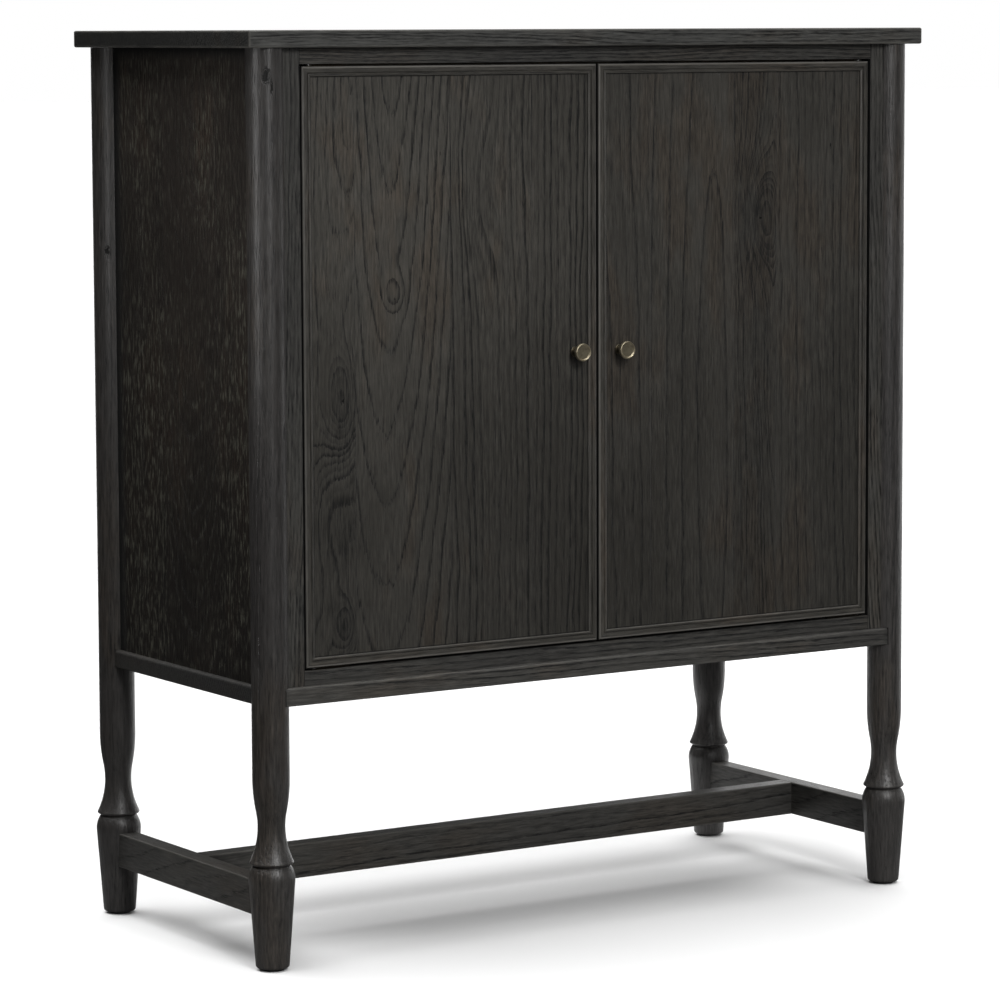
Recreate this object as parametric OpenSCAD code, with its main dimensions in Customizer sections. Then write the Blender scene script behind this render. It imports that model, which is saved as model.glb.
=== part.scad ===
// Two-door storage cabinet on turned corner posts, with an H-shaped stretcher base.
// Units are millimetres. +Z is up, the doors face -Y and +X is to the right of a person facing them.
// The origin is on the floor, at the middle of the footprint measured over the knobs and the top.

/* [Overall] */
// Width over the top
cabinet_w = 1100; // [1000:10:1200]
// Depth over the top, without the knobs
cabinet_d = 494; // [440:2:540]
// Height from the floor to the top surface
cabinet_h = 1240; // [1160:10:1320]

/* [Top] */
// Thickness of the top
top_t = 23; // [20:0.5:28]
// How far the top reaches past the posts at each side
top_side_over = 13.5; // [8:0.5:20]
// How far the top reaches past the posts at the front and back
top_front_over = 4; // [3:0.5:8]
// Radius on the edges of the top
top_edge_r = 2.5; // [1.5:0.5:4]

/* [Posts] */
// Diameter of the plain upper part of each post
post_d = 50; // [48:0.5:54]
// Diameter at the waist of the turning
waist_d = 37; // [34:0.5:40]
// Diameter of the lip above the groove
lip_d = 58.8; // [57:0.2:60]
// Diameter of the bulb below the groove
bulb_d = 62.4; // [61:0.2:64]
// Diameter at the bottom of the foot
foot_d = 45.2; // [43:0.2:47]
// Height where the plain part of the post ends
plain_z = 258; // [254:1:264]
// Height of the waist
waist_z = 192.5; // [190:0.5:195]
// Height of the lip
lip_z = 145; // [143:0.5:147]
// Height of the groove under the lip
groove_z = 140.8; // [139.8:0.2:141.4]
// Height of the widest part of the bulb
bulb_z = 122; // [120:0.5:124]
// Radius of the hollow curve at the waist
waist_curve_r = 106; // [100:1:112]

/* [Case] */
// Thickness of the bottom board
board_t = 24.5; // [22:0.5:28]
// Height of the top face of the bottom board
board_top_z = 378; // [364:2:392]
// How far the bottom board reaches in front of the post centres
board_front = 22.5; // [21.5:0.5:23]
// How far the bottom board reaches outside the post centres at the sides
board_side = 13.5; // [12:0.5:15]
// Thickness of the side panels
side_t = 18; // [15:1:19]
// How far the side panels stand outside the post centres
side_out = 6; // [4:0.5:8]
// Thickness of the back panel
back_t = 8; // [6:1:9]
// Thickness of the face frame
frame_t = 20; // [19:0.5:21]
// How far the face frame stands in front of the post centres
frame_front = 16; // [15:0.5:17]
// Distance from the post centres to the inner edge of each stile
stile_in = 43.5; // [40:0.5:52]
// Height of the top rail
rail_top_h = 21; // [18:1:30]
// Height of the bottom rail
rail_bottom_h = 20; // [16:1:30]

/* [Doors] */
// Gap round each door
door_gap = 3; // [2.5:0.1:3.5]
// Thickness of the doors
door_t = 19.5; // [19:0.1:20]
// Width of the moulding round each door
moulding_w = 13.5; // [13:0.5:18]
// Depth of the door panel behind the moulding
panel_recess = 2.5; // [2:0.5:3]
// Distance from the hinge edge of a door to its pivot
pivot_in = 14; // [13:0.5:16]
// Depth of the pivot behind the front of a door
pivot_back = 8; // [7.5:0.5:8]
// Radius of the pivot pins
pivot_r = 2.5; // [2:0.25:3]
// Distance from the meeting edge of a door to its knob
knob_in = 35; // [30:1:60]
// Height of the knobs above the middle of the doors
knob_rise = 4.5; // [0:0.5:60]
// Diameter of the knobs
knob_d = 24.5; // [20:0.5:30]
// Length of the knobs
knob_l = 22.5; // [20:0.5:28]

/* [Inside] */
// Thickness of the shelves
shelf_t = 20; // [16:1:24]
// Height of the underside of the lower shelf
shelf_lower_z = 634; // [560:2:680]
// Height of the underside of the upper shelf
shelf_upper_z = 906; // [860:2:940]
// Spacing of the shelf holes
hole_pitch = 32; // [25:1:40]
// Holes above and below each shelf
hole_extra = 2; // [0:1:2]

/* [Base] */
// Height of the stretchers
stretcher_h = 48; // [40:1:50]
// Thickness of the stretchers
stretcher_t = 28; // [24:0.5:28]
// Height of the underside of the stretchers
stretcher_z = 70; // [60:1:70]
// Thickness of the foot glides
glide_t = 3; // [2:0.5:5]
// Diameter of the foot glides
glide_d = 30; // [24:1:34]

/* [Hidden] */

$fn = 64;
wood = [0.17, 0.16, 0.15];
wood_light = [0.24, 0.23, 0.21];
brass = [0.55, 0.47, 0.30];
bronze = [0.24, 0.21, 0.17];
steel = [0.60, 0.60, 0.62];
black = [0.08, 0.08, 0.08];
cut = 1;                    // how far a cutter runs past the surface it cuts
mitre_reach = 50;           // size of the cutters that mitre the mouldings
mitre_angle = 45;

// Post centres. The frame is shifted so that the knobs in front and the bulbs of the posts (or the
// top, if it reaches further) behind are equally far out.
post_r = post_d / 2;
post_x = cabinet_w / 2 - top_side_over - post_r;
half_y = cabinet_d / 2 - top_front_over - post_r;
panel_y_rel = -half_y - frame_front + panel_recess;
back_reach = half_y + max(post_r + top_front_over, bulb_d / 2);
shift_y = (knob_l - panel_y_rel - back_reach) / 2;
front_y = -half_y + shift_y;
back_y = half_y + shift_y;
case_top = cabinet_h - top_t;
board_z = board_top_z - board_t;

// Turning of the posts
waist_r = waist_d / 2;
lip_r = lip_d / 2;
bulb_r = bulb_d / 2;
foot_r = foot_d / 2;
curve_top = plain_z - waist_z;
curve_in = post_r - waist_r;
both_r = (curve_top * curve_top + curve_in * curve_in) / (2 * curve_in);
upper_curve_r = both_r - waist_curve_r;
turn_angle = asin(curve_top / both_r);
lip_edge_r = 2;
lip_centre_x = waist_r + waist_curve_r
    - sqrt(pow(waist_curve_r + lip_edge_r, 2) - pow(waist_z - lip_z, 2));
lip_angle = asin((waist_z - lip_z) / (waist_curve_r + lip_edge_r));
groove_in = 0.2;
groove_r = post_r - groove_in;
bulb_drop = groove_z - bulb_z;
bulb_in = bulb_r - groove_r;
bulb_curve_r = (bulb_drop * bulb_drop + bulb_in * bulb_in) / (2 * bulb_in);
bulb_angle = asin(bulb_drop / bulb_curve_r);
taper_angle = atan((bulb_r - foot_r) / (bulb_z - glide_t));
foot_edge_r = 4;
glide_edge_r = 1;

// Housings in the posts, measured from a post centre towards the middle of the cabinet
notch_x = 10.4;             // walls of the recess for the bottom board in a post
notch_y = 10;
joint_gap = 1.2;            // open joint between the bottom board and a post
side_house = 13;            // where the side panels end inside the posts
stile_house = 10;           // where the stiles end inside the posts
back_house = 14;            // where the back panel ends inside the posts
back_front = 2;             // front face of the back panel behind the post centres
board_behind = 3.5;         // how far the bottom board reaches behind the back panel
board_back = back_front + back_t + board_behind;
stretcher_house = 15;       // where the side stretchers end inside the posts

// Edge radii of the boards
board_top_r = 4.5;
board_low_r = 2;
stretcher_edge_r = 2;
shelf_edge_r = 2;

// Case
side_x = post_x + side_out;         // outer face of a side panel
side_inner_x = side_x - side_t;
face_y = front_y - frame_front;     // front of the face frame
frame_back_y = face_y + frame_t;
opening_x = post_x - stile_in;      // half the width between the stiles
opening_low = board_top_z + rail_bottom_h;
opening_high = case_top - rail_top_h;
rail_tenon_l = 12;
rail_tenon_t = 8;
rail_tenon_h = 12;
back_rail_t = 18;
back_rail_top_h = 60;
back_rail_low_h = 40;
cleat_w = 20;
cleat_clear = 30;
strip_w = 16;
strip_drop = 18;                    // how far the stop strip hangs below the top rail
strip_short = 70;                   // how far the stop strip ends short of the opening
strip_half = opening_x - strip_short;

// Doors
door_w = (2 * opening_x - 3 * door_gap) / 2;
door_h = opening_high - opening_low - 2 * door_gap;
door_low = opening_low + door_gap;
door_high = door_low + door_h;
door_mid = (door_low + door_high) / 2;
door_edge = opening_x - door_gap;   // hinge edge, from the middle of the cabinet
meet_edge = door_gap / 2;
door_front = face_y;
door_back = face_y + door_t;
pivot_x = door_edge - pivot_in;
pivot_y = face_y + pivot_back;
panel_front = door_front + panel_recess;

// Moulding profile
bead_edge_r = 3;
bead_r = 2.2;
quirk_w = 1.2;
quirk_d = 1.3;

// Knife hinges
leaf_l = 60;
leaf_w = 12;
leaf_t = 2.5;
leaf_proud = 1.1;
washer_t = 0.5;
washer_r = 5;
pin_run = 0.05;                     // running clearance round a pin
pin_depth = 4;                      // how far a pin reaches into a door
pin_hole_clear = 1;
pin_hole_extra = 2;                 // depth of a pin hole past its pin
pin_hole_r = pivot_r + pin_hole_clear;
screw_r = 1.75;
screw_head_r = 3.6;
screw_head_h = 1.8;
leaf_screw_l = 9;
leaf_screw_at = [22, 44];

// Catches
magnet_r = 6;
magnet_l = 11;
catch_x = 70;
catch_z = door_high - moulding_w / 2;
strike_r = 5;
strike_t = 2;

// Knobs
knob_x = meet_edge + knob_in;
knob_z = door_mid + knob_rise;
knob_r = knob_d / 2;
knob_screw_r = 2;
knob_screw_clear = 0.2;
knob_screw_in = 10;
knob_head_r = 4.5;
knob_head_h = 2.2;
knob_base_r = 7;                    // foot that rests on the door
knob_base_t = 2;
knob_base_edge_r = 0.6;
knob_neck_r = 5.2;
knob_flare_r = 6.6;                 // hollow curve from the neck out to the head
knob_flare_at = [10.9, 8.4];
knob_flare_from = 205;
knob_flare_to = 140;
knob_rim_r = 1.6;                   // back edge of the head
knob_rim_back = 4;
knob_face_r = 1.2;                  // raised rim round the face
knob_dish_in = 3.2;
knob_dish_rim = 1.4;
knob_dish = 1.8;                    // depth of the dished face

// Shelves
shelf_front_in = 26;                // front of the shelves behind the front post centres
shelf_back_gap = 1;
shelf_side_gap = 1.5;
shelf_post_gap = 2.5;
shelf_front = front_y + shelf_front_in;
shelf_back = back_y + back_front - shelf_back_gap;
shelf_half = side_inner_x - shelf_side_gap;
shelf_notch_x = post_x - post_r - shelf_post_gap;
shelf_notch_y = back_y - post_r - shelf_post_gap;
pin_hole_depth = 10;
shelf_pin_r = 2.5;
shelf_pin_in = 9;
shelf_tab_l = 9;
shelf_tab_w = 9;
shelf_tab_t = 2;
collar_r = 4;
collar_t = 1.5;
pin_row_in = 40;                    // rows of pins, from the front and from the back notches
pin_rows_y = [shelf_front + pin_row_in, shelf_notch_y - pin_row_in];

// Screws
top_screw_r = 2;
top_screw_in = 14;
top_head_r = 4;
top_head_h = 3;
top_screw_end = 80;                 // first and last cleat screws, from the post centres
strip_screw_end = 60;               // outer strip screws, from the ends of the strip
back_screw_end = 60;                // outer back screws, from the post centres
back_screw_l = 18;
back_head_r = 3.6;
back_head_h = 2;

// ---------- Helpers ----------

// Points of an arc, from angle a to angle b in n steps
function arc(cx, cy, r, a, b, n) =
    [for (i = [0 : n]) [cx + r * cos(a + (b - a) * i / n), cy + r * sin(a + (b - a) * i / n)]];

// A rectangle whose corners have radii r = [front low, back low, back high, front high]
module soft_rect(w, h, r) {
    difference() {
        square([w, h]);
        corner_cut(0, 0, r[0], 0);
        corner_cut(w, 0, r[1], 90);
        corner_cut(w, h, r[2], 180);
        corner_cut(0, h, r[3], 270);
    }
}

// What a rounded corner removes, at (x, y), with its quarter turned by a
module corner_cut(x, y, r, a) {
    if (r > 0)
        translate([x, y])
            rotate(a)
                difference() {
                    translate([-cut, -cut])
                        square([r + cut, r + cut]);
                    translate([r, r])
                        circle(r);
                }
}

// A box from one corner to the other
module block(lo, hi) {
    translate(lo)
        cube([hi[0] - lo[0], hi[1] - lo[1], hi[2] - lo[2]]);
}

// A board with rounded edges on its four sides: low is the radius below, high the one above
module soft_board(lo, hi, low, high, front_only = false) {
    w = hi[0] - lo[0];
    d = hi[1] - lo[1];
    t = hi[2] - lo[2];
    intersection() {
        translate([lo[0], lo[1], lo[2]])
            rotate([90, 0, 90])
                linear_extrude(w)
                    soft_rect(d, t, [low, front_only ? 0 : low, front_only ? 0 : high, high]);
        translate([lo[0], hi[1], lo[2]])
            rotate([90, 0, 0])
                linear_extrude(d)
                    soft_rect(w, t, front_only ? [0, 0, 0, 0] : [low, low, high, high]);
    }
}

// Draws its children at the left and mirrored at the right
module both_sides() {
    children();
    mirror([1, 0, 0])
        children();
}

// A countersunk screw pointing along -Z from its flat head at the origin
module flat_screw(l, r, head_r, head_h) {
    rotate_extrude()
        polygon([[0, 0], [head_r, 0], [r, -head_h], [r, -l + r], [0, -l]]);
}

// A pan-head screw pointing along -Z, with the underside of its head at the origin
module pan_screw(l, r, head_r, head_h) {
    rotate_extrude()
        polygon(concat(
            [[0, -l], [r, -l + r], [r, 0], [head_r, 0], [head_r, head_h * 0.4]],
            arc(head_r - head_h * 0.6, head_h * 0.4, head_h * 0.6, 15, 90, 5),
            [[0, head_h]]));
}

// ---------- Posts ----------

// Half outline of a turned post: radius against height
function post_outline() = concat(
    [[0, glide_t], [foot_r - foot_edge_r, glide_t]],
    arc(foot_r - foot_edge_r, glide_t + foot_edge_r, foot_edge_r, -80, -taper_angle, 8),
    arc(bulb_r - bulb_curve_r, bulb_z, bulb_curve_r, -taper_angle, bulb_angle, 14),
    arc(lip_centre_x, lip_z, lip_edge_r, -80, lip_angle, 8),
    arc(waist_r + waist_curve_r, waist_z, waist_curve_r, 180 + lip_angle, 180 - turn_angle, 26),
    arc(post_r - upper_curve_r, plain_z, upper_curve_r, -turn_angle, 0, 12),
    [[post_r, case_top], [0, case_top]]);

module post_blank() {
    rotate_extrude($fn = 96)
        polygon(post_outline());
}

module front_post() {
    color(wood)
        difference() {
            translate([-post_x, front_y, 0])
                post_blank();
            board_recess();
            side_panel_blank();
            stile_blank();
            side_stretcher_blank();
        }
}

module back_post() {
    color(wood)
        difference() {
            translate([-post_x, back_y, 0])
                post_blank();
            board_blank();
            side_panel_blank();
            back_panel_blank();
            back_rail_blank(case_top - back_rail_top_h, case_top);
            back_rail_blank(board_top_z, board_top_z + back_rail_low_h);
            side_stretcher_blank();
        }
}

module post_front_left() {
    front_post();
}

module post_front_right() {
    mirror([1, 0, 0])
        front_post();
}

module post_back_left() {
    back_post();
}

module post_back_right() {
    mirror([1, 0, 0])
        back_post();
}

// ---------- Case ----------

module top_panel() {
    color(wood_light)
        difference() {
            soft_board(
                [-cabinet_w / 2, front_y - post_r - top_front_over, case_top],
                [cabinet_w / 2, back_y + post_r + top_front_over, cabinet_h],
                top_edge_r, top_edge_r);
            top_screw_places()
                cylinder(r = top_screw_r, h = top_screw_in);
        }
}

// Plan of the bottom board, with a notch for each post that is wider than the post by gap
module board_plan(gap) {
    x = post_x + board_side;
    yf = front_y - board_front;
    yb = back_y + board_back;
    difference() {
        translate([-x, yf])
            square([2 * x, yb - yf]);
        both_sides() {
            translate([-x - cut, yf - cut])
                square([x + cut - post_x + notch_x + gap, front_y + notch_y + gap - yf + cut]);
            translate([-x - cut, back_y - notch_y - gap])
                square([x + cut - post_x + notch_x + gap, yb - back_y + notch_y + gap + cut]);
        }
    }
}

module board_blank(gap = 0) {
    translate([0, 0, board_z])
        linear_extrude(board_t)
            board_plan(gap);
}

// The recess in the front-left post, open to the front so that the joint shows as a dark line
module board_recess() {
    board_blank();
    block(
        [-post_x + notch_x, front_y - post_r - cut, board_z],
        [-post_x + post_r + cut, front_y + notch_y, board_top_z]);
}

module bottom_board() {
    color(wood)
        intersection() {
            board_blank(joint_gap);
            soft_board(
                [-post_x - board_side, front_y - board_front, board_z],
                [post_x + board_side, back_y + board_back, board_top_z],
                board_low_r, board_top_r);
        }
}

module side_panel_blank() {
    block(
        [-side_x, front_y + side_house, board_top_z],
        [-side_inner_x, back_y - side_house, case_top]);
}

// Heights of the shelf holes on one side, for one shelf
function hole_heights(shelf_z) =
    [for (i = [-hole_extra : hole_extra]) shelf_z - shelf_tab_t - shelf_pin_r + i * hole_pitch];

module side_panel() {
    color(wood)
        difference() {
            side_panel_blank();
            for (z = concat(hole_heights(shelf_lower_z), hole_heights(shelf_upper_z)))
                for (y = pin_rows_y)
                    translate([-side_inner_x - pin_hole_depth, y, z])
                        rotate([0, 90, 0])
                            cylinder(r = shelf_pin_r, h = pin_hole_depth + cut);
        }
}

module side_panel_left() {
    side_panel();
}

module side_panel_right() {
    mirror([1, 0, 0])
        side_panel();
}

module back_panel_blank() {
    block(
        [-post_x + back_house, back_y + back_front, board_top_z],
        [post_x - back_house, back_y + back_front + back_t, case_top]);
}

module back_panel() {
    color(wood)
        difference() {
            back_panel_blank();
            back_screw_places()
                translate([0, 0, -back_t - cut])
                    cylinder(r = screw_r, h = back_t + 2 * cut);
        }
}

module stile_blank() {
    block(
        [-post_x + stile_house, face_y, board_top_z],
        [-opening_x, frame_back_y, case_top]);
}

// One rail of the face frame between heights z0 and z1, with a tenon at each end
module rail_blank(z0, z1) {
    block([-opening_x, face_y, z0], [opening_x, frame_back_y, z1]);
    rail_tenons(z0, z1);
}

module rail_tenons(z0, z1) {
    mid = (z0 + z1) / 2;
    y = (face_y + frame_back_y) / 2;
    block(
        [-opening_x - rail_tenon_l, y - rail_tenon_t / 2, mid - rail_tenon_h / 2],
        [opening_x + rail_tenon_l, y + rail_tenon_t / 2, mid + rail_tenon_h / 2]);
}

module stile() {
    color(wood)
        difference() {
            stile_blank();
            rail_tenons(opening_high, case_top);
            rail_tenons(board_top_z, opening_low);
        }
}

module stile_left() {
    stile();
}

module stile_right() {
    mirror([1, 0, 0])
        stile();
}

module rail_top() {
    color(wood)
        difference() {
            rail_blank(opening_high, case_top);
            both_sides() {
                case_leaf_top(true);
                case_leaf_top_screws();
                pin_top();
            }
        }
}

module rail_bottom() {
    color(wood)
        difference() {
            rail_blank(board_top_z, opening_low);
            both_sides() {
                case_leaf_low(true);
                case_leaf_low_screws();
                pin_low();
            }
        }
}

// Strip behind the top rail: the doors close against it and it holds the magnets
module stop_strip() {
    color(wood)
        difference() {
            block(
                [-strip_half, frame_back_y, opening_high - strip_drop],
                [strip_half, frame_back_y + strip_w, case_top]);
            both_sides()
                magnet();
            top_screw_bores();
        }
}

module cleat() {
    color(wood)
        difference() {
            block(
                [-side_inner_x, front_y + cleat_clear, case_top - cleat_w],
                [-side_inner_x + cleat_w, back_y - cleat_clear, case_top]);
            top_screw_bores();
        }
}

module cleat_left() {
    cleat();
}

module cleat_right() {
    mirror([1, 0, 0])
        cleat();
}

module back_rail_blank(z0, z1) {
    block(
        [-side_inner_x, back_y + back_front - back_rail_t, z0],
        [side_inner_x, back_y + back_front, z1]);
}

module back_rail_top() {
    color(wood)
        difference() {
            back_rail_blank(case_top - back_rail_top_h, case_top);
            back_screws_all();
        }
}

module back_rail_bottom() {
    color(wood)
        difference() {
            back_rail_blank(board_top_z, board_top_z + back_rail_low_h);
            back_screws_all();
        }
}

// ---------- Shelves ----------

module shelf(z) {
    color(wood)
        difference() {
            soft_board(
                [-shelf_half, shelf_front, z],
                [shelf_half, shelf_back, z + shelf_t],
                shelf_edge_r, shelf_edge_r, true);
            both_sides()
                block(
                    [-shelf_half - cut, shelf_notch_y, z - cut],
                    [-shelf_notch_x, shelf_back + cut, z + shelf_t + cut]);
        }
}

module shelf_lower() {
    shelf(shelf_lower_z);
}

module shelf_upper() {
    shelf(shelf_upper_z);
}

// A shelf pin in the left side panel, under a shelf whose underside is at height z
module shelf_pin(y, z) {
    axis_z = z - shelf_tab_t - shelf_pin_r;
    translate([-side_inner_x - shelf_pin_in, y, axis_z])
        rotate([0, 90, 0])
            cylinder(r = shelf_pin_r, h = shelf_pin_in);
    translate([-side_inner_x, y, axis_z])
        rotate([0, 90, 0])
            cylinder(r = collar_r, h = collar_t);
    block(
        [-side_inner_x + collar_t / 2, y - shelf_tab_w / 2, z - shelf_tab_t],
        [-side_inner_x + shelf_tab_l, y + shelf_tab_w / 2, z]);
}

module shelf_pins() {
    color(steel)
        both_sides()
            for (z = [shelf_lower_z, shelf_upper_z])
                for (y = pin_rows_y)
                    shelf_pin(y, z);
}

// ---------- Base ----------

module side_stretcher_blank() {
    block(
        [-post_x - board_side, front_y + stretcher_house, stretcher_z],
        [-post_x - board_side + stretcher_t, back_y - stretcher_house, stretcher_z + stretcher_h]);
}

module long_tenons() {
    x = post_x + board_side - stretcher_t;
    y = (front_y + back_y) / 2;
    block(
        [-x - stretcher_house, y - stretcher_t / 4, stretcher_z + stretcher_h / 4],
        [x + stretcher_house, y + stretcher_t / 4, stretcher_z + stretcher_h * 3 / 4]);
}

module side_stretcher() {
    lo = [-post_x - board_side, front_y + stretcher_house, stretcher_z];
    color(wood)
        difference() {
            translate(lo)
                translate([0, back_y - front_y - 2 * stretcher_house, 0])
                    rotate([90, 0, 0])
                        linear_extrude(back_y - front_y - 2 * stretcher_house)
                            soft_rect(stretcher_t, stretcher_h,
                                [for (i = [0 : 3]) stretcher_edge_r]);
            long_tenons();
        }
}

module stretcher_left() {
    side_stretcher();
}

module stretcher_right() {
    mirror([1, 0, 0])
        side_stretcher();
}

module stretcher_long() {
    x = post_x + board_side - stretcher_t;
    y = (front_y + back_y) / 2;
    color(wood) {
        translate([-x, y - stretcher_t / 2, stretcher_z])
            rotate([90, 0, 90])
                linear_extrude(2 * x)
                    soft_rect(stretcher_t, stretcher_h, [for (i = [0 : 3]) stretcher_edge_r]);
        long_tenons();
    }
}

module foot_glides() {
    color(black)
        both_sides()
            for (y = [front_y, back_y])
                translate([-post_x, y, 0])
                    rotate_extrude()
                        polygon(concat(
                            [[0, 0], [glide_d / 2 - glide_edge_r, 0]],
                            arc(glide_d / 2 - glide_edge_r, glide_edge_r, glide_edge_r, -75, 0, 5),
                            [[glide_d / 2, glide_t], [0, glide_t]]));
}

// ---------- Knife hinges ----------

// Plan of a hinge leaf, with its round end on the pivot
module leaf_plan() {
    circle(leaf_w / 2);
    translate([0, -leaf_w / 2])
        square([leaf_l - leaf_w / 2, leaf_w]);
}

// A leaf whose outer face is at height 0 and whose thickness runs up, with countersinks below
module leaf(bore_r, solid_leaf) {
    difference() {
        linear_extrude(leaf_t)
            leaf_plan();
        if (!solid_leaf) {
            translate([0, 0, -cut])
                cylinder(r = bore_r, h = leaf_t + 2 * cut);
            for (x = leaf_screw_at)
                translate([x, 0, 0])
                    mirror([0, 0, 1])
                        leaf_screw();
        }
    }
}

module leaf_screw() {
    flat_screw(leaf_screw_l, screw_r, screw_head_r, screw_head_h);
}

// Case leaves: let into the rails, standing proud into the gap
module case_leaf_top(solid_leaf = false) {
    translate([-pivot_x, pivot_y, opening_high - leaf_proud])
        leaf(pivot_r, solid_leaf);
}

module case_leaf_low(solid_leaf = false) {
    translate([-pivot_x, pivot_y, opening_low + leaf_proud])
        mirror([0, 0, 1])
            leaf(pivot_r, solid_leaf);
}

module case_leaf_top_screws() {
    for (x = leaf_screw_at)
        translate([-pivot_x + x, pivot_y, opening_high - leaf_proud])
            mirror([0, 0, 1])
                leaf_screw();
}

module case_leaf_low_screws() {
    for (x = leaf_screw_at)
        translate([-pivot_x + x, pivot_y, opening_low + leaf_proud])
            leaf_screw();
}

module pin_top() {
    translate([-pivot_x, pivot_y, door_high - pin_depth])
        cylinder(r = pivot_r, h = opening_high - leaf_proud + leaf_t - door_high + pin_depth);
}

module pin_low() {
    translate([-pivot_x, pivot_y, opening_low + leaf_proud - leaf_t])
        cylinder(r = pivot_r, h = door_low + pin_depth - opening_low - leaf_proud + leaf_t);
}

module hinge_case_leaves() {
    color(bronze)
        both_sides() {
            case_leaf_top();
            case_leaf_low();
        }
}

module hinge_pins() {
    color(steel)
        both_sides() {
            pin_top();
            pin_low();
        }
}

module hinge_case_screws() {
    color(bronze)
        both_sides() {
            case_leaf_top_screws();
            case_leaf_low_screws();
        }
}

// Door leaves: let into the top and bottom edges of a door
module door_leaf_top(solid_leaf = false) {
    translate([-pivot_x, pivot_y, door_high + leaf_proud])
        mirror([0, 0, 1])
            leaf(pivot_r + pin_run, solid_leaf);
}

module door_leaf_low(solid_leaf = false) {
    translate([-pivot_x, pivot_y, door_low - leaf_proud])
        leaf(pivot_r + pin_run, solid_leaf);
}

module door_leaf_screws() {
    for (x = leaf_screw_at) {
        translate([-pivot_x + x, pivot_y, door_high + leaf_proud])
            leaf_screw();
        translate([-pivot_x + x, pivot_y, door_low - leaf_proud])
            mirror([0, 0, 1])
                leaf_screw();
    }
}

module washer(z) {
    translate([-pivot_x, pivot_y, z])
        difference() {
            cylinder(r = washer_r, h = washer_t);
            translate([0, 0, -cut])
                cylinder(r = pivot_r + pin_run, h = washer_t + 2 * cut);
        }
}

// ---------- Doors ----------

// Section of the moulding: x runs inwards from the edge of the door, y runs back from its front
module bead_section() {
    w = moulding_w;
    difference() {
        union() {
            soft_rect(w - bead_r, door_t, [bead_edge_r, 0, 0, 0]);
            translate([w - 2 * bead_r, panel_recess])
                square([2 * bead_r, door_t - panel_recess]);
            translate([w - bead_r, bead_r])
                circle(bead_r);
        }
        translate([w - 2 * bead_r - quirk_w, -cut])
            square([quirk_w, quirk_d + cut]);
        difference() {
            translate([w - 2 * bead_r, -cut])
                square([bead_r, bead_r + cut]);
            translate([w - bead_r, bead_r])
                circle(bead_r);
        }
    }
}

// A mitred length of moulding along +X, with its outer edge at z = 0 and its inner edge above
module bead_length(l) {
    difference() {
        translate([0, door_front, 0])
            rotate([90, 0, 90])
                linear_extrude(l)
                    mirror_swap()
                        bead_section();
        translate([0, door_front - mitre_reach, 0])
            rotate([0, mitre_angle, 0])
                translate([-mitre_reach, 0, -mitre_reach])
                    cube([mitre_reach, door_t + 2 * mitre_reach, 2 * mitre_reach]);
        translate([l, door_front - mitre_reach, 0])
            rotate([0, -mitre_angle, 0])
                translate([0, 0, -mitre_reach])
                    cube([mitre_reach, door_t + 2 * mitre_reach, 2 * mitre_reach]);
    }
}

// Turns the moulding section so that its edge lies along the door's edge
module mirror_swap() {
    mirror([1, -1])
        children();
}

module bead_top() {
    difference() {
        translate([-door_edge, 0, door_high])
            mirror([0, 0, 1])
                bead_length(door_w);
        door_leaf_top(true);
        door_leaf_screws();
        door_pin_holes();
        strike_place()
            cylinder(r = strike_r, h = strike_t + cut);
    }
}

module bead_bottom() {
    difference() {
        translate([-door_edge, 0, door_low])
            bead_length(door_w);
        door_leaf_low(true);
        door_leaf_screws();
        door_pin_holes();
    }
}

module bead_hinge() {
    translate([-door_edge, 0, door_high])
        rotate([0, 90, 0])
            bead_length(door_h);
}

module bead_meeting() {
    translate([-meet_edge, 0, door_low])
        rotate([0, -90, 0])
            bead_length(door_h);
}

module door_pin_holes() {
    translate([-pivot_x, pivot_y, door_high - pin_depth - pin_hole_extra])
        cylinder(r = pin_hole_r, h = pin_depth + pin_hole_extra);
    translate([-pivot_x, pivot_y, door_low])
        cylinder(r = pin_hole_r, h = pin_depth + pin_hole_extra);
}

module door_panel() {
    difference() {
        block(
            [-door_edge + moulding_w, panel_front, door_low + moulding_w],
            [-meet_edge - moulding_w, door_back, door_high - moulding_w]);
        translate([-knob_x, panel_front - cut, knob_z])
            rotate([-90, 0, 0])
                cylinder(r = knob_screw_r + knob_screw_clear, h = door_t + 2 * cut);
    }
}

module strike_place() {
    translate([-catch_x, door_back - strike_t, catch_z])
        rotate([-90, 0, 0])
            children();
}

// Half outline of a knob: radius against distance from the door
function knob_outline() = concat(
    [[knob_screw_r, 0], [knob_base_r, 0]],
    arc(knob_base_r - knob_base_edge_r, knob_base_t - knob_base_edge_r, knob_base_edge_r, 0, 90, 4),
    [[knob_neck_r, knob_base_t]],
    arc(knob_flare_at[0], knob_flare_at[1], knob_flare_r, knob_flare_from, knob_flare_to, 10),
    arc(knob_r - knob_rim_r, knob_l - knob_rim_back, knob_rim_r, -60, 0, 5),
    arc(knob_r - knob_face_r, knob_l - knob_face_r, knob_face_r, 0, 150, 8),
    [
        [knob_r - knob_dish_in, knob_l - knob_dish_rim],
        [0, knob_l - knob_dish],
        [0, knob_screw_in],
        [knob_screw_r, knob_screw_in]
    ]);

module knob() {
    translate([-knob_x, panel_front, knob_z])
        rotate([90, 0, 0])
            rotate_extrude()
                polygon(knob_outline());
}

module knob_screw() {
    translate([-knob_x, door_back, knob_z])
        rotate([-90, 0, 0])
            pan_screw(door_t - panel_recess + knob_screw_in, knob_screw_r, knob_head_r, knob_head_h);
}

module strike() {
    strike_place()
        cylinder(r = strike_r, h = strike_t);
}

module magnet() {
    translate([-catch_x, frame_back_y, catch_z])
        rotate([-90, 0, 0])
            cylinder(r = magnet_r, h = magnet_l);
}

module catch_magnets() {
    color(steel)
        both_sides()
            magnet();
}

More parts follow.
